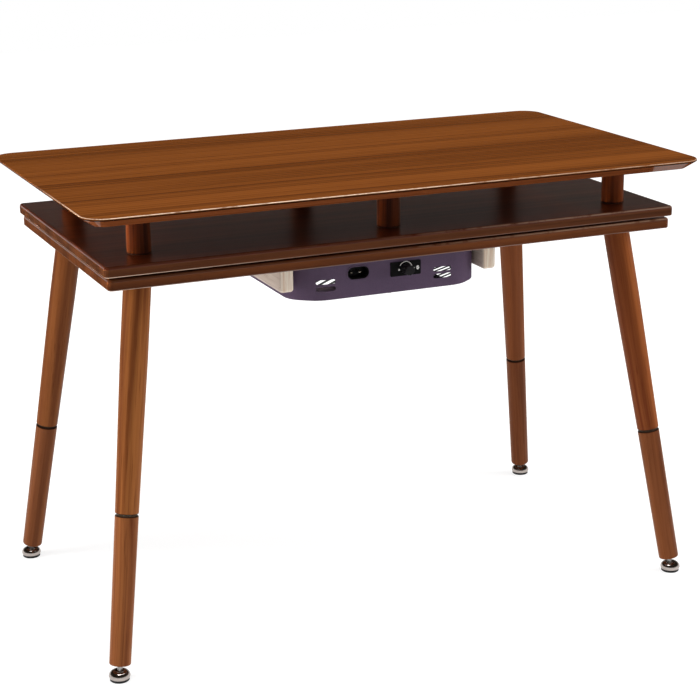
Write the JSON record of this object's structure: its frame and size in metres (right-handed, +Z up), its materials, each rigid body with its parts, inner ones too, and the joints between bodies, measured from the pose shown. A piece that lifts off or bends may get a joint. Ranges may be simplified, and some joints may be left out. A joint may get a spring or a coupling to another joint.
{
  "type": "kotatsu table",
  "caption": "Desk-height kotatsu table with a shelf under the desktop, splayed round legs on level pads and an underslung heater.",
  "frame": {"origin": "bottom centre of the bounding box, on the floor under the middle of the table", "axes": "+Z up, +X along the length of the desktop to the right, -Y towards the side with the controls"},
  "size_m": [1, 0.558, 0.698],
  "materials": {
    "desktop_veneer": "semi gloss walnut veneer",
    "shelf_veneer": "gloss dark veneer",
    "base_veneer": "satin dark veneer",
    "post_wood": "satin stained wood",
    "leg_wood": "satin stained wood",
    "stem_steel": "zinc plated",
    "cap_chrome": "polished",
    "foot_rubber": "matte",
    "fastener_steel": "zinc plated",
    "rail_plywood": "raw sanded plywood",
    "case_paint": "semi matte",
    "guard_paint": "matte",
    "baffle_mica": "pressed mica sheet",
    "reflector_metal": "polished sheet",
    "quartz": "milky quartz",
    "coil_metal": "oxidised wire",
    "holder_ceramic": "unglazed ceramic",
    "fuse_metal": "satin",
    "control_plastic": "matte black",
    "switch_plastic": "matte",
    "inlet_plastic": "satin black",
    "pin_brass": "nickel plated",
    "lead_sleeve": "glass fibre sleeve"
  },
  "bodies": {
    "base": {"antislip_pads": "foot_rubber", "base_board": "base_veneer", "board_inserts": "fastener_steel", "control_plate": "control_plastic", "extension_studs": "fastener_steel", "guard_screws": "fastener_steel", "hanger_bolts": "fastener_steel", "heater_case": "case_paint", "heater_guard": "guard_paint", "heater_screws": "fastener_steel", "heating_coils": "coil_metal", "inlet_body": "inlet_plastic", "inlet_pins": "pin_brass", "inner_leads": "lead_sleeve", "joint_nuts": "fastener_steel", "leg_end_nuts": "fastener_steel", "leg_extension_front_left": "leg_wood", "leg_extension_front_right": "leg_wood", "leg_extension_rear_left": "leg_wood", "leg_extension_rear_right": "leg_wood", "quartz_tube_front": "quartz", "quartz_tube_rear": "quartz", "rail_left": "rail_plywood", "rail_right": "rail_plywood", "rail_screws": "fastener_steel", "reflector": "reflector_metal", "spindle_nut": "fastener_steel", "terminal_block": "holder_ceramic", "thermal_fuse": "fuse_metal", "thermostat": "switch_plastic", "tube_holders": "holder_ceramic", "upper_leg_front_left": "leg_wood", "upper_leg_front_right": "leg_wood", "upper_leg_rear_left": "leg_wood", "upper_leg_rear_right": "leg_wood", "wiring_baffle": "baffle_mica"},
    "upper_unit": {"desktop": "desktop_veneer", "shelf_board": "shelf_veneer", "post_bolts": "fastener_steel", "desktop_inserts": "fastener_steel", "post_front_left": "post_wood", "post_front_middle": "post_wood", "post_front_right": "post_wood", "post_rear_left": "post_wood", "post_rear_middle": "post_wood", "post_rear_right": "post_wood"},
    "knob": {"control_knob": "control_plastic", "control_spindle": "fastener_steel"},
    "stem_front_left": {"glide_stem_front_left": "stem_steel"},
    "pad_front_left": {"glide_rubber_front_left": "foot_rubber", "glide_cap_front_left": "cap_chrome"},
    "stem_front_right": {"glide_stem_front_right": "stem_steel"},
    "pad_front_right": {"glide_rubber_front_right": "foot_rubber", "glide_cap_front_right": "cap_chrome"},
    "stem_rear_left": {"glide_stem_rear_left": "stem_steel"},
    "pad_rear_left": {"glide_rubber_rear_left": "foot_rubber", "glide_cap_rear_left": "cap_chrome"},
    "stem_rear_right": {"glide_stem_rear_right": "stem_steel"},
    "pad_rear_right": {"glide_rubber_rear_right": "foot_rubber", "glide_cap_rear_right": "cap_chrome"}
  },
  "joints": [
    {"name": "upper_unit_lift", "type": "slide", "parent": "base", "child": "upper_unit", "axis": [0, 0, 1], "range_m": [0, 0.15]},
    {"name": "knob_turn", "type": "hinge", "parent": "base", "child": "knob", "pos_m": [0.0237, -0.1872, 0.5542], "axis": [0, 1, 0], "range_deg": [0, 185]},
    {"name": "pad_height_front_left", "type": "slide", "parent": "base", "child": "stem_front_left", "axis": [-0.1338, -0.1373, -0.9815], "range_m": [0, 0.008]},
    {"name": "pad_height_front_right", "type": "slide", "parent": "base", "child": "stem_front_right", "axis": [0.1338, -0.1373, -0.9815], "range_m": [0, 0.008]},
    {"name": "pad_height_rear_left", "type": "slide", "parent": "base", "child": "stem_rear_left", "axis": [-0.1338, 0.1373, -0.9815], "range_m": [0, 0.008]},
    {"name": "pad_height_rear_right", "type": "slide", "parent": "base", "child": "stem_rear_right", "axis": [0.1338, 0.1373, -0.9815], "range_m": [0, 0.008]},
    {"name": "pad_swivel_front_left", "type": "hinge", "parent": "stem_front_left", "child": "pad_front_left", "pos_m": [-0.47917, -0.25894, 0.009], "axis": [-0.7162, 0.6979, 0], "range_deg": [-3, 25]},
    {"name": "pad_swivel_front_right", "type": "hinge", "parent": "stem_front_right", "child": "pad_front_right", "pos_m": [0.47917, -0.25894, 0.009], "axis": [-0.7162, -0.6979, 0], "range_deg": [-3, 25]},
    {"name": "pad_swivel_rear_left", "type": "hinge", "parent": "stem_rear_left", "child": "pad_rear_left", "pos_m": [-0.47917, 0.25894, 0.009], "axis": [0.7162, 0.6979, 0], "range_deg": [-3, 25]},
    {"name": "pad_swivel_rear_right", "type": "hinge", "parent": "stem_rear_right", "child": "pad_rear_right", "pos_m": [0.47917, 0.25894, 0.009], "axis": [0.7162, -0.6979, 0], "range_deg": [-3, 25]}
  ]
}
